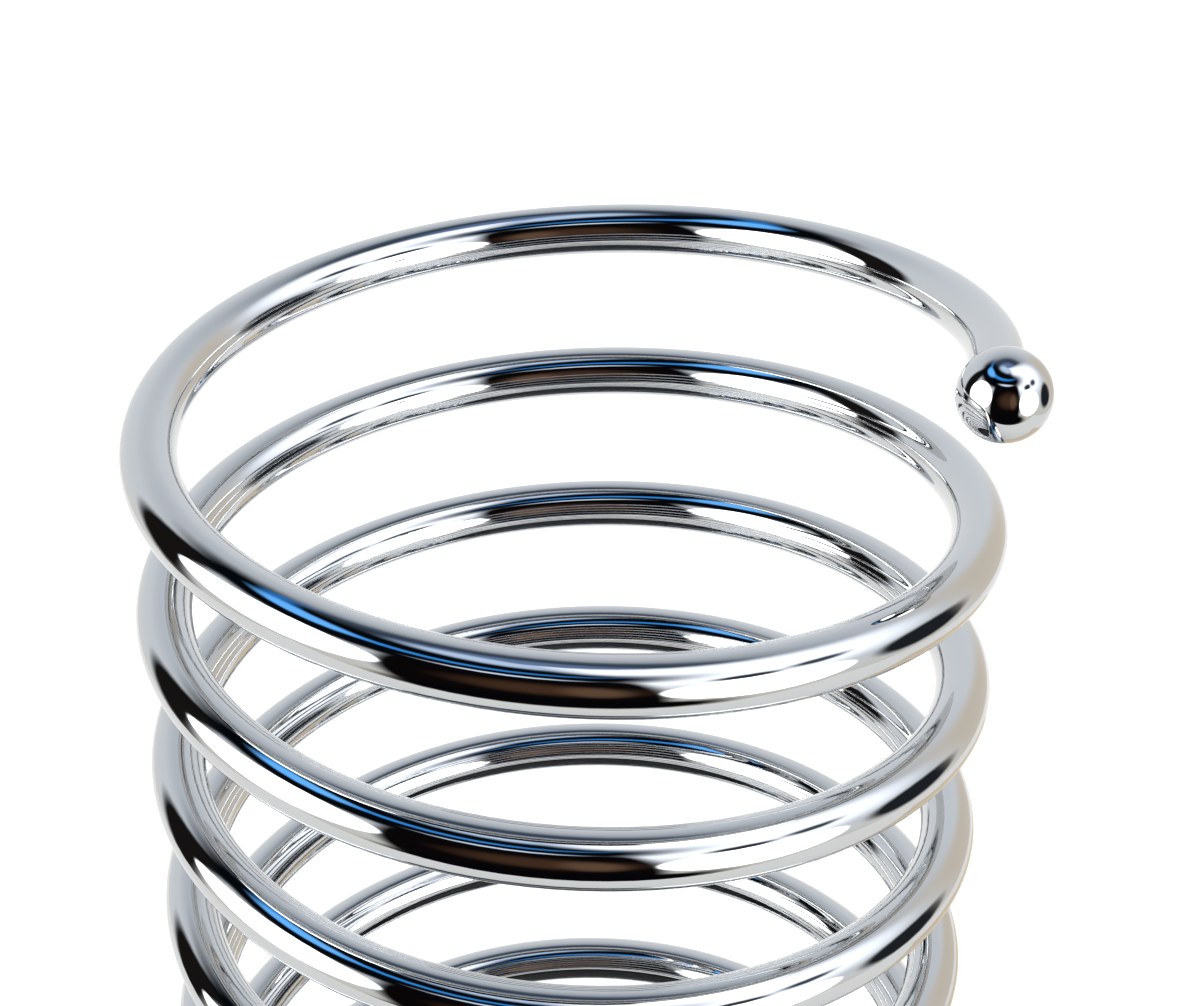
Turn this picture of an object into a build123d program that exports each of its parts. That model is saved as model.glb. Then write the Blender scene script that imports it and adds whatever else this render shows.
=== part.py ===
from build123d import *
from math import asin, atan2, ceil, cos, degrees, pi, radians, sin, sqrt, tan
import os

# Spiral umbrella stand: one chrome-plated steel tube wound as a left-hand coil, with a screwed-on
# ball at each end, two welded rods that carry a lift-out drip tray, and four clip-on floor glides.
# Millimetres, +Z up. The origin is on the floor, on the axis of the coil. Azimuth is measured
# anticlockwise from +X, seen from above, and the tube runs anticlockwise as it goes down.

# Tube and coil
TUBE_OD = 15.0
TUBE_WALL = 1.2
COIL_MEAN_D = 220.0
COIL_PITCH = 48.0
COIL_TURNS = 9.5            # from the top ball to the bottom ball
LANDING_ANGLE = 90.0        # over which the coil comes down to its level bottom turn
END_STRAIGHT = 20.0         # unbent tube left at each end, for the insert
UNDERPASS_GAP = 2.0         # between the bottom ball and the tube that passes over it
LENGTH_ANGLE = 22.5         # the tube is made up of lengths no longer than this much of a turn

# Balls and what holds them
BALL_D = 24.0
BALL_SEAT_FIT = 0.05        # radial clearance of the ball's seat round the tube
BALL_SEAT_DEPTH = 2.0       # how far the tube stands in the ball, at the seat's rim
BALL_HOLE_SPARE = 2.0       # blind hole beyond the stud
INSERT_LENGTH = 16.0
INSERT_RECESS = 0.4         # below the tube's end face
INSERT_FIT = 0.05           # radial clearance in the tube
INSERT_GROOVES = 3
INSERT_GROOVE_W = 1.6
INSERT_GROOVE_DEPTH = 0.6
STUD_D = 6.0
STUD_FIT = 0.05             # radial clearance of the stud in both threads
STUD_IN_TUBE = 12.0
STUD_IN_BALL = 10.0
STUD_SOCKET_AF = 3.0
STUD_SOCKET_DEPTH = 3.0
STUD_CHAMFER = 0.6

# Floor glides
GLIDE_COUNT = 4
GLIDE_SOLE = 7.0            # floor to the underside of the tube
GLIDE_LENGTH = 16.0         # along the tube
GLIDE_WALL = 2.0            # of the clip round the tube
GLIDE_FIT = 0.05            # radial clearance round the tube
GLIDE_SOLE_ACROSS = 18.0    # sole's size across the tube
GLIDE_CLIP_ABOVE = 3.2      # how far the clip's lips reach above the tube's axis
GLIDE_FILLET = 1.2
GLIDE_CLEAR_ANGLE = 10.0    # from a rod or the landing to a glide's middle, in degrees

# Rods that carry the tray
ROD_D = 5.0
ROD_SPACING = 80.0
ROD_LEAD = 45.0             # from the rods' direction round to the tube's lower end, in degrees
ROD_WELD_GAP = 0.05

# Drip tray
TRAY_RIM_GAP = 3.0          # between the tray's rim and the top ball, as the tray is lifted out
TRAY_HEIGHT = 32.0
TRAY_WALL = 2.0
TRAY_DRAFT = 7.0            # how far the wall leans out, in degrees
TRAY_RIM_W = 4.0            # width of the turned-out rim
TRAY_CORNER_R = 6.0         # outside, between floor and wall
TRAY_REST_GAP = 0.3         # between the tray and the rods
TRAY_RIB_COUNT = 8
TRAY_RIB_W = 3.0
TRAY_RIB_H = 2.0
TRAY_RIB_INNER_R = 18.0
TRAY_RIB_OUTER_R = 70.0
TRAY_BOSS_R = 10.0
TRAY_LUG_D = 6.0            # four lugs under the floor straddle the rods
TRAY_LUG_H = 3.0
TRAY_LUG_ALONG = 55.0       # from the tray's middle, along the rods
TRAY_LUG_GAP = 0.5

COIL_R = COIL_MEAN_D / 2
TUBE_R = TUBE_OD / 2
TUBE_BORE_R = TUBE_R - TUBE_WALL
BALL_R = BALL_D / 2
ROD_R = ROD_D / 2
SEAT_R = TUBE_R + BALL_SEAT_FIT
STUD_HOLE_R = STUD_D / 2 + STUD_FIT

# The tube's end face bears on the bottom of the ball's seat; the ball's centre lies beyond it.
BALL_AHEAD = sqrt(BALL_R**2 - SEAT_R**2) - BALL_SEAT_DEPTH
BALL_REACH = END_STRAIGHT + BALL_AHEAD
END_ANGLE = degrees(atan2(BALL_REACH, COIL_R))
BALL_TRACK_R = sqrt(COIL_R**2 + BALL_REACH**2)

# Azimuths count down the tube from the top ball, and heights come from the floor up.
END_AZ = COIL_TURNS * 360
CROSSING_AZ = END_AZ - 360
LANDED_AZ = CROSSING_AZ + LANDING_ANGLE
FIRST_BEND_AZ = END_ANGLE
LAST_BEND_AZ = END_AZ - END_ANGLE
FALL_PER_DEGREE = COIL_PITCH / 360
LEVEL_Z = GLIDE_SOLE + TUBE_R
CROSSING_Z = LEVEL_Z + BALL_R + UNDERPASS_GAP + TUBE_R
TOP_BEND_Z = CROSSING_Z + (CROSSING_AZ - FIRST_BEND_AZ) * FALL_PER_DEGREE

ROD_AZIMUTH = END_AZ - ROD_LEAD
# Each rod ends on the inside of the level turn, this far round from its own direction.
ROD_END_ANGLE = degrees(asin(ROD_SPACING / 2 / (COIL_R - TUBE_R)))
TRAY_Z = LEVEL_Z + ROD_R + TRAY_REST_GAP
TRAY_RIM_R = BALL_TRACK_R - BALL_R - TRAY_RIM_GAP


def on_coil(azimuth, z, radius=COIL_R):
    """The point at that azimuth, height and radius."""
    return Vector(radius * cos(radians(azimuth)), radius * sin(radians(azimuth)), z)


def along_coil(azimuth, fall_per_degree=0.0):
    """Unit direction of the tube's run: anticlockwise, and down by that much a degree."""
    fall = fall_per_degree / (COIL_R * pi / 180)
    return Vector(-sin(radians(azimuth)), cos(radians(azimuth)), -fall).normalized()


TOP_OUTWARD = -along_coil(FIRST_BEND_AZ, FALL_PER_DEGREE)
BOTTOM_OUTWARD = along_coil(LAST_BEND_AZ)
TOP_POINT = on_coil(FIRST_BEND_AZ, TOP_BEND_Z)
BOTTOM_POINT = on_coil(LAST_BEND_AZ, LEVEL_Z)
TOP_END = Plane(origin=TOP_POINT + TOP_OUTWARD * END_STRAIGHT, z_dir=TOP_OUTWARD)
BOTTOM_END = Plane(origin=BOTTOM_POINT + BOTTOM_OUTWARD * END_STRAIGHT, z_dir=BOTTOM_OUTWARD)


def rod(radius, z_from, z_to):
    """A round bar on the Z axis."""
    return Pos(0, 0, z_from) * Cylinder(radius, z_to - z_from, align=(Align.CENTER, Align.CENTER, Align.MIN))


def chamfered(bar, size):
    """A round bar with both end edges broken."""
    ends = bar.edges().filter_by(GeomType.CIRCLE)
    return chamfer(ends, size)


def landing_z(azimuth):
    """Height of the tube as it comes down to the level turn, with no kink at either end."""
    s = (azimuth - CROSSING_AZ) / LANDING_ANGLE
    drop = CROSSING_Z - LEVEL_Z
    slope = FALL_PER_DEGREE * LANDING_ANGLE
    return LEVEL_Z + drop * (2 * s**3 - 3 * s**2 + 1) - slope * (s**3 - 2 * s**2 + s)


def landing_fall(azimuth):
    """Millimetres by which the tube falls for each degree, as it comes down to the level turn."""
    s = (azimuth - CROSSING_AZ) / LANDING_ANGLE
    drop = (CROSSING_Z - LEVEL_Z) / LANDING_ANGLE
    return drop * (6 * s - 6 * s**2) + FALL_PER_DEGREE * (3 * s**2 - 4 * s + 1)


def wound_run(azimuth, sweep_angle):
    """Centreline of a length of the wound part, lower end first, whose upper end is at that azimuth."""
    azimuth += sweep_angle
    height = CROSSING_Z + (CROSSING_AZ - azimuth) * FALL_PER_DEGREE
    helix = Helix(COIL_PITCH, sweep_angle * FALL_PER_DEGREE, COIL_R, lefthand=True)
    return Pos(0, 0, height) * Rot(0, 0, azimuth) * helix


def landing_run(azimuth, sweep_angle):
    """Centreline of a length, starting at that azimuth, that comes down to the level turn."""
    middle = azimuth + sweep_angle / 2
    end = azimuth + sweep_angle
    return Spline(
        *[on_coil(a, landing_z(a)) for a in (azimuth, middle, end)],
        tangents=[along_coil(a, landing_fall(a)) for a in (azimuth, end)],
        tangent_scalars=(1, 1),
    )


def level_run(azimuth, sweep_angle):
    """Centreline of a length of the level turn that starts at that azimuth."""
    turns = [azimuth, azimuth + sweep_angle / 2, azimuth + sweep_angle]
    return ThreePointArc(*[on_coil(a, LEVEL_Z) for a in turns])


def coil_runs():
    """The tube's centreline from top to bottom, one edge for each length of tube."""
    runs = [Line(TOP_END.origin, TOP_POINT)]
    for first, last, run in (
        (FIRST_BEND_AZ, CROSSING_AZ, wound_run),
        (CROSSING_AZ, LANDED_AZ, landing_run),
        (LANDED_AZ, LAST_BEND_AZ, level_run),
    ):
        lengths = ceil((last - first) / LENGTH_ANGLE)
        share = (last - first) / lengths
        for i in range(lengths):
            runs.append(run(first + share * i, share))
    runs.append(Line(BOTTOM_POINT, BOTTOM_END.origin))
    return [run.edge() for run in runs]


def make_coil():
    """The tube, open from end to end: lengths that meet face to face, where they are welded."""
    lengths = []
    for centreline in coil_runs():
        start = Plane(origin=centreline @ 0, z_dir=centreline % 0)
        ring = start * (Circle(TUBE_R) - Circle(TUBE_BORE_R))
        swept = sweep(sections=ring, path=centreline, is_frenet=True)
        lengths.append(swept.solid())
    return Compound(children=lengths)


def make_ball(end):
    """A solid ball with a counterbored seat for the tube and a blind hole for the stud."""
    ball = Pos(0, 0, BALL_AHEAD) * Sphere(BALL_R)
    ball -= rod(SEAT_R, -BALL_R, 0)
    ball -= rod(STUD_HOLE_R, -1, STUD_IN_BALL + BALL_HOLE_SPARE)
    return end * ball


def make_insert(end):
    """A bored plug with three glue grooves, fixed inside the tube's end."""
    radius = TUBE_BORE_R - INSERT_FIT
    plug = chamfered(rod(radius, -INSERT_RECESS - INSERT_LENGTH, -INSERT_RECESS), STUD_CHAMFER)
    spacing = INSERT_LENGTH / (INSERT_GROOVES + 1)
    for i in range(INSERT_GROOVES):
        middle = -INSERT_RECESS - spacing * (i + 1)
        low, high = middle - INSERT_GROOVE_W / 2, middle + INSERT_GROOVE_W / 2
        plug -= rod(radius + 1, low, high) - rod(radius - INSERT_GROOVE_DEPTH, low, high)
    plug -= rod(STUD_HOLE_R, -INSERT_RECESS - INSERT_LENGTH - 1, 0)
    return end * plug


def make_stud(end):
    """A headless screw with a hexagon socket in its inner end."""
    stud = chamfered(rod(STUD_D / 2, -STUD_IN_TUBE, STUD_IN_BALL), STUD_CHAMFER)
    hexagon = RegularPolygon(STUD_SOCKET_AF / 2, 6, major_radius=False)
    stud -= Pos(0, 0, -STUD_IN_TUBE) * extrude(hexagon, STUD_SOCKET_DEPTH)
    return end * stud


def make_tray_rod(side):
    """One straight rod between two points of the level turn, its ends coped to the tube."""
    length = 2 * COIL_R
    bar = Rot(0, 90, 0) * Cylinder(ROD_R, length)
    bar = Pos(0, 0, LEVEL_Z) * Rot(0, 0, ROD_AZIMUTH) * Pos(0, side * ROD_SPACING / 2, 0) * bar
    inner = Cylinder(COIL_R, 4 * TUBE_OD)
    cope = Torus(COIL_R, TUBE_R + ROD_WELD_GAP)
    return bar & Pos(0, 0, LEVEL_Z) * (inner - cope)


def tray_profile():
    """Half section of the tray, in the XZ plane, from its axis to its rim."""
    foot = TRAY_RIM_R - TRAY_RIM_W - TRAY_HEIGHT * tan(radians(TRAY_DRAFT))
    lean = (TRAY_HEIGHT - TRAY_WALL) * tan(radians(TRAY_DRAFT))
    skin = TRAY_WALL / cos(radians(TRAY_DRAFT))
    outline = Polyline(
        (0, 0),
        (foot, 0),
        (foot + lean, TRAY_HEIGHT - TRAY_WALL),
        (TRAY_RIM_R, TRAY_HEIGHT - TRAY_WALL),
        (TRAY_RIM_R, TRAY_HEIGHT),
        (foot + lean - skin, TRAY_HEIGHT),
        (foot - skin + TRAY_WALL * tan(radians(TRAY_DRAFT)), TRAY_WALL),
        (0, TRAY_WALL),
        close=True,
    )
    return make_face(Plane.XZ * outline)


def lowest_circle(solid, height):
    """The round edge of a turned solid at that height."""
    circles = solid.edges().filter_by(GeomType.CIRCLE)
    return circles.filter_by_position(Axis.Z, height - 0.01, height + 0.01)[0]


def make_tray():
    """A round moulded dish with a turned-out rim, draining ribs and four locating lugs."""
    tray = revolve(tray_profile(), Axis.Z)
    tray = fillet(lowest_circle(tray, 0), TRAY_CORNER_R)
    tray = fillet(lowest_circle(tray, TRAY_WALL), TRAY_CORNER_R - TRAY_WALL)
    rib_l = TRAY_RIB_OUTER_R - TRAY_RIB_INNER_R
    rib = Pos(TRAY_RIB_INNER_R + rib_l / 2, 0, TRAY_WALL + TRAY_RIB_H / 2)
    rib *= Box(rib_l, TRAY_RIB_W, TRAY_RIB_H)
    for i in range(TRAY_RIB_COUNT):
        tray += Rot(0, 0, 360 * i / TRAY_RIB_COUNT) * rib
    tray += rod(TRAY_BOSS_R, TRAY_WALL, TRAY_WALL + TRAY_RIB_H)
    lug_off = ROD_SPACING / 2 + ROD_R + TRAY_LUG_GAP + TRAY_LUG_D / 2
    for along in (-TRAY_LUG_ALONG, TRAY_LUG_ALONG):
        for off in (-lug_off, lug_off):
            tray += Pos(along, off, 0) * rod(TRAY_LUG_D / 2, -TRAY_LUG_H, 0)
    return Pos(0, 0, TRAY_Z) * Rot(0, 0, ROD_AZIMUTH) * tray


def make_glide(azimuth):
    """A moulded clip bent to the tube's curve, with a flat sole."""
    clip_r = TUBE_R + GLIDE_WALL
    lips_z = LEVEL_Z + GLIDE_CLIP_ABOVE
    section = Pos(COIL_R, LEVEL_Z) * Circle(clip_r)
    section += Pos(COIL_R, LEVEL_Z / 2) * Rectangle(GLIDE_SOLE_ACROSS, LEVEL_Z)
    section -= Pos(COIL_R, lips_z + clip_r) * Rectangle(3 * clip_r, 2 * clip_r)
    section -= Pos(COIL_R, LEVEL_Z) * Circle(TUBE_R + GLIDE_FIT)
    spread = degrees(GLIDE_LENGTH / COIL_R)
    glide = revolve(Plane.XZ * section, Axis.Z, spread)
    uprights = [e for e in glide.edges().filter_by(Axis.Z) if e.center().Z < LEVEL_Z]
    glide = fillet(uprights, GLIDE_FILLET)
    return Rot(0, 0, azimuth - spread / 2) * glide


def glide_azimuths():
    """Evenly spaced on the level turn, clear of the landing and of the last rod's end."""
    first = LANDED_AZ + GLIDE_CLEAR_ANGLE
    last = ROD_AZIMUTH + ROD_END_ANGLE - GLIDE_CLEAR_ANGLE
    return [first + (last - first) * i / (GLIDE_COUNT - 1) for i in range(GLIDE_COUNT)]


def build():
    """Every node's solid, by name."""
    parts = {"coil_tube": make_coil()}
    for name, end in (("top", TOP_END), ("bottom", BOTTOM_END)):
        parts[f"{name}_ball"] = make_ball(end)
        parts[f"{name}_insert"] = make_insert(end)
        parts[f"{name}_stud"] = make_stud(end)
    parts["tray_rod_a"] = make_tray_rod(-1)
    parts["tray_rod_b"] = make_tray_rod(1)
    parts["drip_tray"] = make_tray()
    for i, azimuth in enumerate(glide_azimuths(), 1):
        parts[f"glide_{i}"] = make_glide(azimuth)
    return parts


os.makedirs("parts", exist_ok=True)
for node, solid in build().items():
    solid.label = node
    export_step(solid, f"parts/{node}.step")
    box = solid.bounding_box()
    print(node, len(solid.solids()), solid.is_valid, round(solid.volume, 1), box.min, box.max)
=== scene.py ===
from math import asin, atan2, ceil, cos, degrees, pi, radians, sin, sqrt, tan

import bmesh
import bpy
from mathutils import Matrix, Vector


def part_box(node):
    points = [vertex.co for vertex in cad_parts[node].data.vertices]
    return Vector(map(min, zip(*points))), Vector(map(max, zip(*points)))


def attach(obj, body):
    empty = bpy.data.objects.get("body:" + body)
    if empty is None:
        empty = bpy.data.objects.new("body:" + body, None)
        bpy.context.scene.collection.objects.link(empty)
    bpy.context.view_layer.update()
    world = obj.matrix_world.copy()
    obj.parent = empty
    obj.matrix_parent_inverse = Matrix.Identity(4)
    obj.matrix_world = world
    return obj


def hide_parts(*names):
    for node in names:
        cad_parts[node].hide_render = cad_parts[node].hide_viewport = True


# Spiral umbrella stand: a chromed tube wound as a left-hand coil, a ball on each end, two rods
# under a black drip tray, four clip-on glides. Metres, +Z up, origin on the floor at the coil's axis.
# Azimuths are in degrees, anticlockwise seen from above, and count down the coil from the top ball.

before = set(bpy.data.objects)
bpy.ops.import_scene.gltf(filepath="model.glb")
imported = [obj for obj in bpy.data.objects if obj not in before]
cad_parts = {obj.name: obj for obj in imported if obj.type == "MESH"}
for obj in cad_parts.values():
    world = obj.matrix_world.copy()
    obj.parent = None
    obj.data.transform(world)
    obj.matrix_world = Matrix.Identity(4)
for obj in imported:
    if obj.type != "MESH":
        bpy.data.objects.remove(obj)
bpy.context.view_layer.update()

# Tube and coil
TUBE_R = 0.0075
TUBE_BORE_R = 0.0063
COIL_R = 0.110
COIL_PITCH = 0.048
COIL_TURNS = 9.5
LANDING_ANGLE = 90.0
END_STRAIGHT = 0.020
UNDERPASS_GAP = 0.002
TUBE_SIDES = 64
TUBE_STEP_ANGLE = 3.0
SLOPE_STEP = 0.01           # over which the tube's slope is measured
MERGE_DISTANCE = 0.000001
SHARP_ANGLE = 30.0          # between faces that meet in a hard edge

# Balls
BALL_R = 0.012
SEAT_R = 0.00755
SEAT_DEPTH = 0.002
SEAT_RIM_BREAK = 0.00015
STUD_HOLE_R = 0.00305
STUD_HOLE_DEPTH = 0.012
BALL_SEGMENTS = 128
BALL_RINGS = 80

# Glides
GLIDE_SOLE = 0.007
GLIDE_LENGTH = 0.016
GLIDE_WALL = 0.002
GLIDE_FIT = 0.00005
GLIDE_ACROSS = 0.018
GLIDE_LIP_RISE = 0.0032
GLIDE_EDGE_ROUND = 0.0005
GLIDE_EDGE_ANGLE = 40.0     # between faces whose edge is rounded

# Rods and their welds
ROD_R = 0.0025
ROD_SPACING = 0.080
ROD_LEAD = 45.0
ROD_INTO_TUBE = 0.003
WELD_LEG = 0.0022
WELD_BULGE = WELD_LEG * 0.8         # how far the bead stands out where the rod enters the tube
WELD_BULGE_ROUND = WELD_LEG * 0.3
WELD_TOE_ROUND = WELD_LEG * 0.6     # where the bead runs out along the rod
ROD_SEGMENTS = 32

# Drip tray
TRAY_RIM_GAP = 0.003
TRAY_HEIGHT = 0.032
TRAY_WALL = 0.002
TRAY_DRAFT = 7.0
TRAY_RIM_W = 0.004
TRAY_CORNER_R = 0.006
TRAY_NECK_ROUND = TRAY_WALL / 3     # under the rim, and on the rim's lower and upper edges
TRAY_RIM_UNDER_ROUND = TRAY_WALL * 0.4
TRAY_RIM_ROUND = TRAY_WALL * 0.45
TRAY_REST_GAP = 0.0003
TRAY_RIB_COUNT = 8
TRAY_RIB_W = 0.003
TRAY_RIB_H = 0.002
TRAY_RIB_INNER_R = 0.018
TRAY_RIB_OUTER_R = 0.070
TRAY_BOSS_R = 0.010
TRAY_LUG_R = 0.003
TRAY_LUG_H = 0.003
TRAY_LUG_ALONG = 0.055
TRAY_LUG_GAP = 0.0005
TRAY_SINK = 0.0005          # how far ribs, boss and lugs run into the floor they stand on
TRAY_RIB_ROUND = 0.0006     # on the upper edges of the ribs and the boss
TRAY_LUG_ROUND = 0.0005
TRAY_SEGMENTS = 160
TRAY_BOSS_SEGMENTS = 48
TRAY_LUG_SEGMENTS = 24
CORNER_STEPS = 8            # in each rounded corner of a turned outline
LEVEL_WITHIN = 1e-7         # how near to a height counts as being at it

# Places worked out as the design works them out
BALL_AHEAD = sqrt(BALL_R**2 - SEAT_R**2) - SEAT_DEPTH
BALL_REACH = END_STRAIGHT + BALL_AHEAD
END_ANGLE = degrees(atan2(BALL_REACH, COIL_R))
BALL_TRACK_R = sqrt(COIL_R**2 + BALL_REACH**2)
END_AZ = COIL_TURNS * 360
CROSSING_AZ = END_AZ - 360
LANDED_AZ = CROSSING_AZ + LANDING_ANGLE
LAST_BEND_AZ = END_AZ - END_ANGLE
ROD_AZIMUTH = END_AZ - ROD_LEAD
FALL_PER_DEGREE = COIL_PITCH / 360
LEVEL_Z = GLIDE_SOLE + TUBE_R
CROSSING_Z = LEVEL_Z + BALL_R + UNDERPASS_GAP + TUBE_R
TRAY_Z = LEVEL_Z + ROD_R + TRAY_REST_GAP
TRAY_RIM_R = BALL_TRACK_R - BALL_R - TRAY_RIM_GAP


def srgb(text):
    """Linear colour of an sRGB hex value such as C8CCD2."""
    parts = [int(text[i:i + 2], 16) / 255 for i in (0, 2, 4)]
    linear = [c / 12.92 if c <= 0.04045 else ((c + 0.055) / 1.055) ** 2.4 for c in parts]
    return (*linear, 1.0)


def add(tree, kind, inputs=None, **settings):
    """Adds a node; an input is either a value or another node's output."""
    made = tree.nodes.new(kind)
    for name, value in settings.items():
        setattr(made, name, value)
    for name, value in (inputs or {}).items():
        if isinstance(value, bpy.types.NodeSocket):
            tree.links.new(value, made.inputs[name])
        else:
            made.inputs[name].default_value = value
    return made


def new_material(name, **finish):
    """A material with a Principled shader, and its finish set on the shader's own sockets."""
    made = bpy.data.materials.new(name)
    made.use_nodes = True
    tree = made.node_tree
    tree.nodes.clear()
    shader = add(tree, "ShaderNodeBsdfPrincipled")
    for socket, value in finish.items():
        shader.inputs[socket.replace("_", " ")].default_value = value
    add(tree, "ShaderNodeOutputMaterial", {"Surface": shader.outputs["BSDF"]})
    place = add(tree, "ShaderNodeTexCoord").outputs["Object"]
    return made, tree, shader, place


# ---------------------------------------------------------------- materials


def chrome_plate(name, ripple_mm, ripple_height_mm, haze):
    """Bright chrome plate on polished steel: a bluish-grey mirror, reflecting a little over half of
    the light, with shallow waves left by the polishing wheel and a haze of dust and fingerprints."""
    made, tree, shader, place = new_material(name, Metallic=1.0, Base_Color=srgb("C6C8CA"))
    smears = add(tree, "ShaderNodeTexNoise", {"Vector": place, "Scale": 1000 / 22, "Detail": 5.0})
    roughness = add(
        tree, "ShaderNodeMapRange",
        {"Value": smears.outputs["Fac"], "From Min": 0.45, "From Max": 0.75, "To Min": 0.012, "To Max": haze},
    )
    tree.links.new(roughness.outputs["Result"], shader.inputs["Roughness"])
    ripple = add(tree, "ShaderNodeTexNoise", {"Vector": place, "Scale": 1000 / ripple_mm, "Detail": 0.0})
    bump = add(
        tree, "ShaderNodeBump",
        {"Height": ripple.outputs["Fac"], "Strength": 1.0, "Distance": ripple_height_mm / 1000},
    )
    tree.links.new(bump.outputs["Normal"], shader.inputs["Normal"])
    return made


def turned_steel():
    """Unplated free-cutting steel, turned: grey metal with fine rings that spread its highlights."""
    made, tree, shader, place = new_material(
        "steel_turned", Metallic=1.0, Base_Color=srgb("A9A8A6"), Roughness=0.34
    )
    grain = add(tree, "ShaderNodeTexNoise", {"Vector": place, "Scale": 1000 / 0.4, "Detail": 3.0})
    bump = add(tree, "ShaderNodeBump", {"Height": grain.outputs["Fac"], "Distance": 0.00002})
    tree.links.new(bump.outputs["Normal"], shader.inputs["Normal"])
    return made


def zinc_plate():
    """Zinc-plated screw steel, blue passivated: paler than steel, with a bluish, uneven sheen."""
    made, tree, shader, place = new_material("steel_zinc_plated", Metallic=1.0, Roughness=0.3)
    cloud = add(tree, "ShaderNodeTexNoise", {"Vector": place, "Scale": 1000 / 2.5, "Detail": 2.0})
    tint = add(
        tree, "ShaderNodeMix",
        {"Factor": cloud.outputs["Fac"], 6: srgb("B4BAC2"), 7: srgb("CFCDC2")}, data_type="RGBA",
    )
    tree.links.new(tint.outputs[2], shader.inputs["Base Color"])
    return made


def moulded_plastic(name, colour, worn, roughness, grain_mm, grain_height_mm, marks):
    """Black plastic moulded in an eroded steel tool: an even, fine grain that breaks up the gloss,
    smoother and paler where it is rubbed, with thin grey dust lying on what faces up."""
    made, tree, shader, place = new_material(name, IOR=1.49)
    grain = add(tree, "ShaderNodeTexNoise", {"Vector": place, "Scale": 1000 / grain_mm, "Detail": 2.0})
    bump = add(tree, "ShaderNodeBump", {"Height": grain.outputs["Fac"], "Distance": grain_height_mm / 1000})
    tree.links.new(bump.outputs["Normal"], shader.inputs["Normal"])
    rubbing = add(
        tree, "ShaderNodeTexNoise", {"Vector": place, "Scale": 1000 / 30, "Detail": 6.0, "Roughness": 0.6}
    )
    rubbed = add(
        tree, "ShaderNodeMapRange",
        {"Value": rubbing.outputs["Fac"], "From Min": 0.5, "From Max": 0.8, "To Max": marks},
    )
    surface = add(tree, "ShaderNodeNewGeometry")
    facing = add(tree, "ShaderNodeSeparateXYZ", {"Vector": surface.outputs["Normal"]})
    dusty = add(
        tree, "ShaderNodeMapRange",
        {"Value": facing.outputs["Z"], "From Min": 0.6, "From Max": 1.0, "To Max": 0.6},
    )
    cover = add(
        tree, "ShaderNodeMath", {0: rubbed.outputs["Result"], 1: dusty.outputs["Result"]}, operation="ADD"
    )
    share = add(
        tree, "ShaderNodeMath", {0: cover.outputs[0], 1: rubbing.outputs["Fac"]}, operation="MULTIPLY"
    )
    tint = add(
        tree, "ShaderNodeMix", {"Factor": share.outputs[0], 6: srgb(colour), 7: srgb(worn)}, data_type="RGBA"
    )
    tree.links.new(tint.outputs[2], shader.inputs["Base Color"])
    matt = add(
        tree, "ShaderNodeMapRange",
        {"Value": rubbing.outputs["Fac"], "From Min": 0.3, "From Max": 0.7,
         "To Min": roughness + 0.06, "To Max": roughness - 0.06},
    )
    tree.links.new(matt.outputs["Result"], shader.inputs["Roughness"])
    return made


TUBE_CHROME = chrome_plate("chrome_plated_tube", ripple_mm=14.0, ripple_height_mm=0.006, haze=0.05)
BALL_CHROME = chrome_plate("chrome_plated_ball", ripple_mm=9.0, ripple_height_mm=0.002, haze=0.04)
ROD_CHROME = chrome_plate("chrome_plated_rod", ripple_mm=7.0, ripple_height_mm=0.004, haze=0.09)
TURNED_STEEL = turned_steel()
ZINC_STEEL = zinc_plate()
TRAY_PLASTIC = moulded_plastic(
    "polypropylene_moulded", "19191B", "5A5853",
    roughness=0.44, grain_mm=0.35, grain_height_mm=0.03, marks=0.35,
)
GLIDE_PLASTIC = moulded_plastic(
    "soft_pvc_moulded", "1D1D1F", "4A4947",
    roughness=0.52, grain_mm=0.25, grain_height_mm=0.02, marks=0.5,
)


def finished(bm, name, material, body, node):
    """Turns a bmesh into a piece that replaces its CAD node and moves with a body."""
    bmesh.ops.remove_doubles(bm, verts=bm.verts, dist=MERGE_DISTANCE)
    bmesh.ops.recalc_face_normals(bm, faces=bm.faces)
    for face in bm.faces:
        face.smooth = True
    mesh = bpy.data.meshes.new(name)
    bm.to_mesh(mesh)
    bm.free()
    mesh.set_sharp_from_angle(angle=radians(SHARP_ANGLE))
    mesh.materials.append(material)
    piece = bpy.data.objects.new(name, mesh)
    bpy.context.scene.collection.objects.link(piece)
    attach(piece, body)
    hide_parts(node)


# ---------------------------------------------------------------- the coil


def landing_z(azimuth):
    """Height of the tube as it comes down to the level turn."""
    s = (azimuth - CROSSING_AZ) / LANDING_ANGLE
    drop = CROSSING_Z - LEVEL_Z
    slope = FALL_PER_DEGREE * LANDING_ANGLE
    return LEVEL_Z + drop * (2 * s**3 - 3 * s**2 + 1) - slope * (s**3 - 2 * s**2 + s)


def tube_z(azimuth):
    """Height of the tube's centre at any azimuth between its two ends' bends."""
    if azimuth <= CROSSING_AZ:
        return CROSSING_Z + (CROSSING_AZ - azimuth) * FALL_PER_DEGREE
    if azimuth < LANDED_AZ:
        return landing_z(azimuth)
    return LEVEL_Z


def on_coil(azimuth):
    """The point of the tube's centreline at that azimuth."""
    return Vector((COIL_R * cos(radians(azimuth)), COIL_R * sin(radians(azimuth)), tube_z(azimuth)))


def slope_at(azimuth):
    """Angle at which the tube falls, in radians."""
    fall = tube_z(azimuth - SLOPE_STEP / 2) - tube_z(azimuth + SLOPE_STEP / 2)
    return atan2(fall, COIL_R * radians(SLOPE_STEP))


def run_direction(azimuth, slope):
    """Unit direction of the tube, going down at that slope."""
    flat = Vector((-sin(radians(azimuth)), cos(radians(azimuth)), 0)) * cos(slope)
    return flat - Vector((0, 0, sin(slope)))


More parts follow.
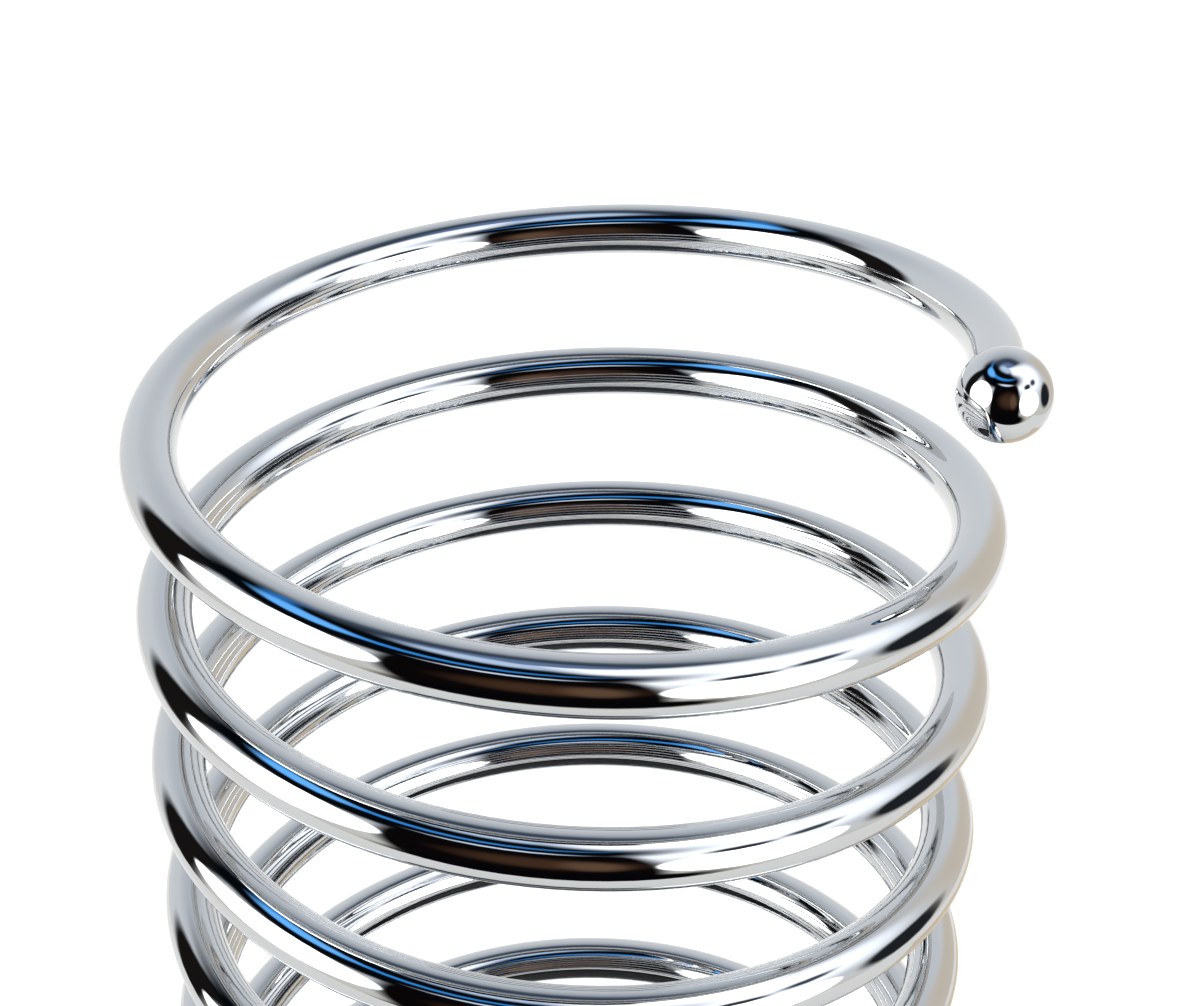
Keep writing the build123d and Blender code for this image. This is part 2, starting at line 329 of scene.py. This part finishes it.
WOUND_SLOPE = atan2(FALL_PER_DEGREE, COIL_R * pi / 180)
TOP_OUTWARD = -run_direction(END_ANGLE, WOUND_SLOPE)
BOTTOM_OUTWARD = run_direction(LAST_BEND_AZ, 0)
TOP_END = on_coil(END_ANGLE) + TOP_OUTWARD * END_STRAIGHT
BOTTOM_END = on_coil(LAST_BEND_AZ) + BOTTOM_OUTWARD * END_STRAIGHT


def edges_in(geometry):
    """The edges among what an operator made."""
    return [g for g in geometry if isinstance(g, bmesh.types.BMEdge)]


def points_in(geometry):
    """The vertices among what an operator made."""
    return [g for g in geometry if isinstance(g, bmesh.types.BMVert)]


def pushed(bm, ring, vector):
    """Draws a ring of edges out along a vector, and gives the new ring."""
    made = bmesh.ops.extrude_edge_only(bm, edges=ring)["geom"]
    bmesh.ops.translate(bm, verts=points_in(made), vec=vector)
    return edges_in(made)


def wound(bm, ring, angle, rise):
    """Winds a ring of edges clockwise round the coil's axis as it rises, and gives the last ring."""
    steps = ceil(angle / TUBE_STEP_ANGLE)
    corners = list(dict.fromkeys(vert for edge in ring for vert in edge.verts))
    made = bmesh.ops.spin(
        bm, geom=corners + ring, cent=(0, 0, 0), axis=(0, 0, -1), dvec=(0, 0, rise / steps),
        angle=radians(angle), steps=steps, use_merge=False,
    )["geom_last"]
    return edges_in(made)


def bored_end(bm, ring, centre, inward):
    """Closes a tube's end with its wall's edge and as much of the bore as its insert fills."""
    lip = bmesh.ops.extrude_edge_only(bm, edges=ring)["geom"]
    share = TUBE_BORE_R / TUBE_R
    bmesh.ops.scale(
        bm, verts=points_in(lip), vec=(share, share, share), space=Matrix.Translation(-centre)
    )
    deep = pushed(bm, edges_in(lip), inward * END_STRAIGHT)
    bmesh.ops.edgeloop_fill(bm, edges=deep)


def make_coil():
    """One continuous tube, wound up from the bottom ball's seat to the top ball's. The wound part
    is one length of less than a turn, copied up the coil and merged end to end."""
    bm = bmesh.new()
    turn = BOTTOM_OUTWARD.to_track_quat("Z", "Y").to_matrix().to_4x4()
    bmesh.ops.create_circle(
        bm, segments=TUBE_SIDES, radius=TUBE_R, matrix=Matrix.Translation(BOTTOM_END) @ turn
    )
    ring = list(bm.edges)
    bored_end(bm, ring, BOTTOM_END, -BOTTOM_OUTWARD)
    ring = pushed(bm, ring, -BOTTOM_OUTWARD * END_STRAIGHT)
    ring = wound(bm, ring, LAST_BEND_AZ - LANDED_AZ, 0)
    steps = ceil(LANDING_ANGLE / TUBE_STEP_ANGLE)
    turn = LANDING_ANGLE / steps
    for i in range(steps):
        here, there = LANDED_AZ - turn * i, LANDED_AZ - turn * (i + 1)
        made = bmesh.ops.extrude_edge_only(bm, edges=ring)["geom"]
        outward = Vector((cos(radians(here)), sin(radians(here)), 0))
        tilt = Matrix.Rotation(slope_at(here) - slope_at(there), 3, outward)
        bmesh.ops.rotate(bm, verts=points_in(made), cent=on_coil(here), matrix=tilt)
        bmesh.ops.rotate(
            bm, verts=points_in(made), cent=(0, 0, 0), matrix=Matrix.Rotation(radians(-turn), 3, "Z")
        )
        bmesh.ops.translate(bm, verts=points_in(made), vec=(0, 0, tube_z(there) - tube_z(here)))
        ring = edges_in(made)
    wound_angle = CROSSING_AZ - END_ANGLE
    lengths = ceil(wound_angle / 360)
    share = wound_angle / lengths
    rise = Vector((0, 0, share * FALL_PER_DEGREE))
    below = set(bm.faces)
    wound(bm, ring, share, rise.z)
    length = [face for face in bm.faces if face not in below]
    for _ in range(lengths - 1):
        copied = bmesh.ops.duplicate(bm, geom=length)["geom"]
        bmesh.ops.rotate(
            bm, verts=points_in(copied), cent=(0, 0, 0), matrix=Matrix.Rotation(radians(-share), 3, "Z")
        )
        bmesh.ops.translate(bm, verts=points_in(copied), vec=rise)
        length = [g for g in copied if isinstance(g, bmesh.types.BMFace)]
    bmesh.ops.remove_doubles(bm, verts=bm.verts, dist=MERGE_DISTANCE)
    ring = [edge for edge in bm.edges if len(edge.link_faces) == 1]
    ring = pushed(bm, ring, TOP_OUTWARD * END_STRAIGHT)
    bored_end(bm, ring, TOP_END, -TOP_OUTWARD)
    finished(bm, "chromed_coil", TUBE_CHROME, "stand", "coil_tube")


def spun(outline, segments):
    """A piece turned on the Z axis from half its section, as pairs of radius and height."""
    bm = bmesh.new()
    verts = [bm.verts.new((r, 0, z)) for r, z in outline]
    edges = [bm.edges.new(pair) for pair in zip(verts, verts[1:])]
    bmesh.ops.spin(
        bm, geom=verts + edges, cent=(0, 0, 0), axis=(0, 0, 1), angle=2 * pi, steps=segments, use_merge=True
    )
    return bm


def make_ball(name, node, end, outward):
    """A turned ball with a counterbored seat, its rim just broken, and a blind hole."""
    rim_z = BALL_AHEAD - sqrt(BALL_R**2 - SEAT_R**2)
    first = asin((SEAT_R + SEAT_RIM_BREAK) / BALL_R)
    outline = [(0, STUD_HOLE_DEPTH), (STUD_HOLE_R, STUD_HOLE_DEPTH), (STUD_HOLE_R, 0), (SEAT_R, 0)]
    outline.append((SEAT_R, rim_z + SEAT_RIM_BREAK))
    for i in range(BALL_RINGS):
        around = first + (pi - first) * i / BALL_RINGS
        outline.append((BALL_R * sin(around), BALL_AHEAD - BALL_R * cos(around)))
    outline.append((0, BALL_AHEAD + BALL_R))
    bm = spun(outline, BALL_SEGMENTS)
    turn = outward.to_track_quat("Z", "Y").to_matrix().to_4x4()
    bmesh.ops.transform(bm, verts=bm.verts, matrix=Matrix.Translation(end) @ turn)
    finished(bm, name, BALL_CHROME, "stand", node)


# ---------------------------------------------------------------- rods, tray, glides


def rounded(corners):
    """Points of an outline from its corners, each (r, z, radius), with arcs where the radius isn't 0."""
    points = []
    for i, (r, z, radius) in enumerate(corners):
        here = Vector((r, z))
        if not radius:
            points.append((r, z))
            continue
        back = (Vector(corners[i - 1][:2]) - here).normalized()
        ahead = (Vector(corners[i + 1][:2]) - here).normalized()
        half = back.angle(ahead) / 2
        middle = here + (back + ahead).normalized() * (radius / sin(half))
        start = here + back * (radius / tan(half)) - middle
        end = here + ahead * (radius / tan(half)) - middle
        sweep = start.angle_signed(end)
        for k in range(CORNER_STEPS + 1):
            spoke = Matrix.Rotation(-sweep * k / CORNER_STEPS, 2) @ start
            points.append(tuple(middle + spoke))
    return points


def make_rod(name, node, side):
    """A drawn rod across the level turn, with a weld bead where each end meets the tube."""
    offset = side * ROD_SPACING / 2
    reach = sqrt((COIL_R - TUBE_R)**2 - offset**2)
    half = reach + ROD_INTO_TUBE
    outline = [
        (0, -half, 0), (ROD_R + WELD_LEG, -half, 0), (ROD_R + WELD_BULGE, -reach, WELD_BULGE_ROUND),
        (ROD_R, -reach + WELD_LEG, WELD_TOE_ROUND), (ROD_R, reach - WELD_LEG, WELD_TOE_ROUND),
        (ROD_R + WELD_BULGE, reach, WELD_BULGE_ROUND), (ROD_R + WELD_LEG, half, 0), (0, half, 0),
    ]
    bm = spun(rounded(outline), ROD_SEGMENTS)
    place = (
        Matrix.Translation((0, 0, LEVEL_Z)) @ Matrix.Rotation(radians(ROD_AZIMUTH), 4, "Z")
        @ Matrix.Translation((0, offset, 0)) @ Matrix.Rotation(radians(90), 4, "Y")
    )
    bmesh.ops.transform(bm, verts=bm.verts, matrix=place)
    finished(bm, name, ROD_CHROME, "stand", node)


def stood_on(bm, made, height, round_off):
    """Rounds the edges, at that height, of a small raised shape that was just made."""
    verts = made["verts"]
    level = [v for v in verts if abs(v.co.z - height) < LEVEL_WITHIN]
    edges = dict.fromkeys(e for v in level for e in v.link_edges if e.other_vert(v) in level)
    bmesh.ops.bevel(
        bm, geom=list(edges), affect="EDGES", offset=round_off, segments=3, profile=0.5, material=-1
    )


def make_tray():
    """The moulded dish: a thin wall leaning out to a turned-out rim, ribs that keep umbrella tips
    off the water, and four lugs that straddle the rods."""
    slant = tan(radians(TRAY_DRAFT))
    skin = TRAY_WALL / cos(radians(TRAY_DRAFT))
    foot = TRAY_RIM_R - TRAY_RIM_W - TRAY_HEIGHT * slant
    neck = foot + (TRAY_HEIGHT - TRAY_WALL) * slant
    inner_foot = foot - skin + TRAY_WALL * slant
    outline = [
        (0, 0, 0), (foot, 0, TRAY_CORNER_R), (neck, TRAY_HEIGHT - TRAY_WALL, TRAY_NECK_ROUND),
        (TRAY_RIM_R, TRAY_HEIGHT - TRAY_WALL, TRAY_RIM_UNDER_ROUND),
        (TRAY_RIM_R, TRAY_HEIGHT, TRAY_RIM_ROUND), (neck - skin, TRAY_HEIGHT, TRAY_RIM_ROUND),
        (inner_foot, TRAY_WALL, TRAY_CORNER_R - TRAY_WALL), (0, TRAY_WALL, 0),
    ]
    bm = spun(rounded(outline), TRAY_SEGMENTS)
    top = TRAY_WALL + TRAY_RIB_H
    rib_size = (TRAY_RIB_OUTER_R - TRAY_RIB_INNER_R, TRAY_RIB_W, TRAY_RIB_H + TRAY_SINK, 1)
    rib_middle = ((TRAY_RIB_OUTER_R + TRAY_RIB_INNER_R) / 2, 0, top - rib_size[2] / 2)
    for i in range(TRAY_RIB_COUNT):
        turn = Matrix.Rotation(2 * pi * i / TRAY_RIB_COUNT, 4, "Z")
        place = turn @ Matrix.Translation(rib_middle) @ Matrix.Diagonal(rib_size)
        stood_on(bm, bmesh.ops.create_cube(bm, size=1, matrix=place), top, TRAY_RIB_ROUND)
    boss_h = TRAY_RIB_H + TRAY_SINK
    made = bmesh.ops.create_cone(
        bm, cap_ends=True, segments=TRAY_BOSS_SEGMENTS,
        radius1=TRAY_BOSS_R, radius2=TRAY_BOSS_R, depth=boss_h,
        matrix=Matrix.Translation((0, 0, top - boss_h / 2)),
    )
    stood_on(bm, made, top, TRAY_RIB_ROUND)
    lug_off = ROD_SPACING / 2 + ROD_R + TRAY_LUG_GAP + TRAY_LUG_R
    lug_h = TRAY_LUG_H + TRAY_SINK
    for along in (-TRAY_LUG_ALONG, TRAY_LUG_ALONG):
        for off in (-lug_off, lug_off):
            made = bmesh.ops.create_cone(
                bm, cap_ends=True, segments=TRAY_LUG_SEGMENTS,
                radius1=TRAY_LUG_R, radius2=TRAY_LUG_R, depth=lug_h,
                matrix=Matrix.Translation((along, off, TRAY_SINK - lug_h / 2)),
            )
            stood_on(bm, made, -TRAY_LUG_H, TRAY_LUG_ROUND)
    place = Matrix.Translation((0, 0, TRAY_Z)) @ Matrix.Rotation(radians(ROD_AZIMUTH), 4, "Z")
    bmesh.ops.transform(bm, verts=bm.verts, matrix=place)
    finished(bm, "moulded_drip_tray", TRAY_PLASTIC, "tray", "drip_tray")


def arc(radius, start, end, steps):
    """Points round the tube's centre in the coil's section, by angle above outward, in degrees."""
    angles = [radians(start + (end - start) * i / steps) for i in range(steps + 1)]
    return [(COIL_R + radius * cos(a), LEVEL_Z + radius * sin(a)) for a in angles]


def make_glide(name, node):
    """A soft moulded clip round the underside of the tube, on a flat sole with rounded edges."""
    clip_r = TUBE_R + GLIDE_WALL
    bore_r = TUBE_R + GLIDE_FIT
    shoulder = degrees(asin(sqrt(clip_r**2 - (GLIDE_ACROSS / 2)**2) / clip_r))
    outer_lip = degrees(asin(GLIDE_LIP_RISE / clip_r))
    inner_lip = degrees(asin(GLIDE_LIP_RISE / bore_r))
    half = GLIDE_ACROSS / 2
    outline = [(COIL_R - half, 0), (COIL_R + half, 0)]
    outline += arc(clip_r, -shoulder, outer_lip, 8)
    outline += arc(bore_r, inner_lip, -180 - inner_lip, 40)
    outline += arc(clip_r, 180 - outer_lip, 180 + shoulder, 8)
    low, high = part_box(node)
    azimuth = degrees(atan2(low[1] + high[1], low[0] + high[0]))
    spread = degrees(GLIDE_LENGTH / COIL_R)
    bm = bmesh.new()
    section = bm.faces.new([bm.verts.new((r, 0, z)) for r, z in outline])
    bmesh.ops.rotate(
        bm, verts=bm.verts, cent=(0, 0, 0), matrix=Matrix.Rotation(radians(azimuth - spread / 2), 3, "Z")
    )
    made = bmesh.ops.extrude_face_region(bm, geom=[section], use_keep_orig=True)["geom"]
    bmesh.ops.rotate(
        bm, verts=points_in(made), cent=(0, 0, 0), matrix=Matrix.Rotation(radians(spread), 3, "Z")
    )
    bmesh.ops.recalc_face_normals(bm, faces=bm.faces)
    shared = [e for e in bm.edges if len(e.link_faces) == 2]
    sharp = [e for e in shared if e.calc_face_angle() > radians(GLIDE_EDGE_ANGLE)]
    bmesh.ops.bevel(
        bm, geom=sharp, affect="EDGES", offset=GLIDE_EDGE_ROUND, segments=3, profile=0.5, material=-1,
        clamp_overlap=True,
    )
    finished(bm, name, GLIDE_PLASTIC, "stand", node)


make_coil()
make_ball("polished_top_ball", "top_ball", TOP_END, TOP_OUTWARD)
make_ball("polished_bottom_ball", "bottom_ball", BOTTOM_END, BOTTOM_OUTWARD)
make_rod("welded_rod_a", "tray_rod_a", -1)
make_rod("welded_rod_b", "tray_rod_b", 1)
make_tray()
for count in (1, 2, 3, 4):
    make_glide(f"moulded_glide_{count}", f"glide_{count}")
for node, material in (
    ("top_insert", TURNED_STEEL), ("bottom_insert", TURNED_STEEL),
    ("top_stud", ZINC_STEEL), ("bottom_stud", ZINC_STEEL),
):
    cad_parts[node].material_slots[0].material = material

# ---------------------------------------------------------------- floor and light

CAMERA_AROUND = 20.228      # how far round from -Y the camera stands, anticlockwise
PLATE_SHARE = 0.56          # share of the light that the chrome gives back
DOME_STRENGTH = 1.35        # of the even light on matt surfaces, enough for a white floor
SQUARE_CORNER = 0.35        # how round the corners of a square-edged shape in the studio are


def floor_sheet(name, colour, x_range, y_range, z, turn):
    """A flat matt sheet on the floor."""
    bm = bmesh.new()
    place = (
        Matrix.Rotation(radians(turn), 4, "Z")
        @ Matrix.Translation((sum(x_range) / 2, sum(y_range) / 2, z))
        @ Matrix.Diagonal((x_range[1] - x_range[0], y_range[1] - y_range[0], 1, 1))
    )
    bmesh.ops.create_grid(bm, x_segments=1, y_segments=1, size=0.5, matrix=place)
    mesh = bpy.data.meshes.new(name)
    bm.to_mesh(mesh)
    bm.free()
    sheet = bpy.data.objects.new(name, mesh)
    bpy.context.scene.collection.objects.link(sheet)
    matt = new_material(name + "_matt", Base_Color=srgb(colour), Roughness=0.9, Specular_IOR_Level=0.1)[0]
    mesh.materials.append(matt)
    return sheet


wide_floor = floor_sheet("floor", "F4F4F4", (-6, 6), (-6, 6), -0.0009, 0)
wide_floor.visible_glossy = False
# What the chrome mirrors: white paper laid out wide, and a pale wooden board behind and to the right.
white_sheet = floor_sheet("white_sheet", "D8D7D5", (-0.9, 0.9), (-0.42, 3.0), -0.0006, CAMERA_AROUND)
board = floor_sheet("wooden_board", "C6B8A2", (0.12, 0.50), (0.06, 0.46), -0.0003, CAMERA_AROUND)
for mirrored in (white_sheet, board):
    mirrored.visible_camera = False
    mirrored.visible_diffuse = False
    mirrored.visible_shadow = False

world = bpy.data.worlds.new("studio")
bpy.context.scene.world = world
world.use_nodes = True
sky = world.node_tree
sky.nodes.clear()

outlook = add(sky, "ShaderNodeTexCoord").outputs["Generated"]
turned = add(
    sky, "ShaderNodeVectorRotate",
    {"Vector": outlook, "Angle": radians(-CAMERA_AROUND)}, rotation_type="Z_AXIS",
)
axes = add(sky, "ShaderNodeSeparateXYZ", {"Vector": turned.outputs["Vector"]})
nearer = add(sky, "ShaderNodeMath", {0: axes.outputs["Y"], 1: -1.0}, operation="MULTIPLY")
sideways = add(sky, "ShaderNodeMath", {0: axes.outputs["X"], 1: nearer.outputs[0]}, operation="ARCTAN2")
upward = add(sky, "ShaderNodeMath", {0: axes.outputs["Z"]}, operation="ARCSINE")
# The bearing that a reflection looks in: to the right of the camera, and up.
bearing = add(sky, "ShaderNodeCombineXYZ", {"X": sideways.outputs[0], "Y": upward.outputs[0]})

# The backdrop all round, from straight down to straight up.
backdrop = add(
    sky, "ShaderNodeMapRange", {"Value": upward.outputs[0], "From Min": -pi / 2, "From Max": pi / 2}
)
shades = add(sky, "ShaderNodeValToRGB", {"Fac": backdrop.outputs["Result"]})
BACKDROP = [
    (-90, "A9A59C"), (-30, "BDB9B1"), (-8, "C2C2C1"), (0, "C1C3C6"), (25, "BEC1C5"), (45, "ABAFB5"),
    (56, "8E949B"), (63, "4A535F"), (70, "2E3845"), (78, "566A8A"), (90, "6A80A6"),
]
ramp = shades.color_ramp
while len(ramp.elements) < len(BACKDROP):
    ramp.elements.new(0.5)
for element, (elevation, colour) in zip(ramp.elements, BACKDROP):
    element.position = (elevation + 90) / 180
    element.color = srgb(colour)


def hang(under, aside, up, half_w, half_h, colour, strength, soft, square=False):
    """Lays a soft-edged shape over the light that is there, and gives the two together."""
    centre = (radians(aside), radians(up), 0)
    size = (1 / radians(half_w), 1 / radians(half_h), 0)
    off = add(sky, "ShaderNodeVectorMath", {0: bearing.outputs[0], 1: centre}, operation="SUBTRACT")
    scaled = add(sky, "ShaderNodeVectorMath", {0: off.outputs[0], 1: size}, operation="MULTIPLY")
    if square:
        flat = add(sky, "ShaderNodeVectorMath", {0: scaled.outputs[0]}, operation="ABSOLUTE")
        pair = add(sky, "ShaderNodeSeparateXYZ", {0: flat.outputs[0]})
        reach = add(
            sky, "ShaderNodeMath", {0: pair.outputs[0], 1: pair.outputs[1], 2: SQUARE_CORNER},
            operation="SMOOTH_MAX",
        ).outputs[0]
    else:
        reach = add(sky, "ShaderNodeVectorMath", {0: scaled.outputs[0]}, operation="LENGTH").outputs["Value"]
    cover = add(
        sky, "ShaderNodeMapRange", {"Value": reach, "From Min": 1 + soft, "From Max": 1 - soft},
        interpolation_type="SMOOTHSTEP",
    )
    bright = [part * strength for part in srgb(colour)[:3]] + [1.0]
    laid = add(
        sky, "ShaderNodeMix", {"Factor": cover.outputs["Result"], 6: under, 7: bright}, data_type="RGBA"
    )
    return laid.outputs[2]


# What hangs round the stand, each over those before it: degrees to the right of the camera and up,
# half its width and height in degrees, its colour as the chrome gives it back, its strength, and
# how soft its edge is.
STUDIO = [
    (-50, 84, 90, 11, "AFC3DC", 1.0, 0.4),          # sky-lit ceiling
    (66, 52, 52, 36, "F2F6FF", 1.15, 0.3),          # big white diffuser up to the right
    (-109, 16, 12, 46, "141211", 1.0, 0.3),         # black flag at the far left
    (96, -3, 17, 17, "1C1E22", 1.0, 0.22),          # dark doorway on the right
    (-50, 56, 98, 21, "04080C", 1.0, 0.22),         # black curtain above, to the left
    (132, 2, 19, 32, "B9B0A4", 1.0, 0.5),           # warm wooden wall behind, to the right
    (-9, 5, 34, 42, "080607", 1.0, 0.10, True),     # dark room behind the camera
    (-2, 10, 20, 16, "3E2A1E", 1.0, 0.6),           # brown furniture in it
    (9, 8, 7, 14, "5A4434", 1.0, 0.6),
    (-4, -36, 46, 15, "050507", 1.0, 0.2),          # dark floor below the camera
    (-12, 46, 20, 2.2, "C9D6E6", 1.0, 0.6),         # lamp strip
    (-60, 59, 78, 3.2, "2F7FCB", 1.0, 0.5),         # blue daylight along the curtain's rail
    (-90, 57, 24, 6, "5FA9EE", 1.1, 0.4),
    (-71, 9, 29, 28, "FFFFFF", 3.6, 0.06),          # softbox on the left
    (48, 1, 24, 27, "FFFFFF", 3.6, 0.07),           # softbox on the right
    (52, 33, 10, 5, "2A2E34", 1.0, 0.4),            # its clamps
    (74, 33, 9, 5, "3A4048", 1.0, 0.5),
]
light = shades.outputs["Color"]
for shape in STUDIO:
    light = hang(light, *shape)

shown = add(sky, "ShaderNodeBackground", {"Color": light, "Strength": 1 / PLATE_SHARE})
dome = add(sky, "ShaderNodeBackground", {"Color": (1, 1, 1, 1), "Strength": DOME_STRENGTH})
blank = add(sky, "ShaderNodeBackground", {"Color": (1, 1, 1, 1), "Strength": 1.0})
ray = add(sky, "ShaderNodeLightPath").outputs
lit = add(sky, "ShaderNodeMixShader", {0: ray["Is Diffuse Ray"], 1: shown.outputs[0], 2: dome.outputs[0]})
both = add(sky, "ShaderNodeMixShader", {0: ray["Is Camera Ray"], 1: lit.outputs[0], 2: blank.outputs[0]})
add(sky, "ShaderNodeOutputWorld", {"Surface": both.outputs[0]})

# ---------------------------------------------------------------- camera

CAMERA_LENS = 63.68
CAMERA_OUT = 0.50823
CAMERA_Z = 0.66378
CAMERA_TILT = 28.084
CAMERA_PAN = 0.955
CAMERA_ROLL = 0.763

camera = bpy.data.objects.new("camera", bpy.data.cameras.new("camera"))
bpy.context.scene.collection.objects.link(camera)
camera.data.lens = CAMERA_LENS
camera.data.sensor_width = 36.0
camera.data.clip_start = 0.01
around = radians(CAMERA_AROUND)
camera.matrix_world = (
    Matrix.Translation((CAMERA_OUT * sin(around), -CAMERA_OUT * cos(around), CAMERA_Z))
    @ Matrix.Rotation(radians(CAMERA_AROUND - CAMERA_PAN), 4, "Z")
    @ Matrix.Rotation(radians(90 - CAMERA_TILT), 4, "X")
    @ Matrix.Rotation(radians(CAMERA_ROLL), 4, "Z")
)
bpy.context.scene.camera = camera
bpy.context.scene.view_settings.view_transform = "Standard"
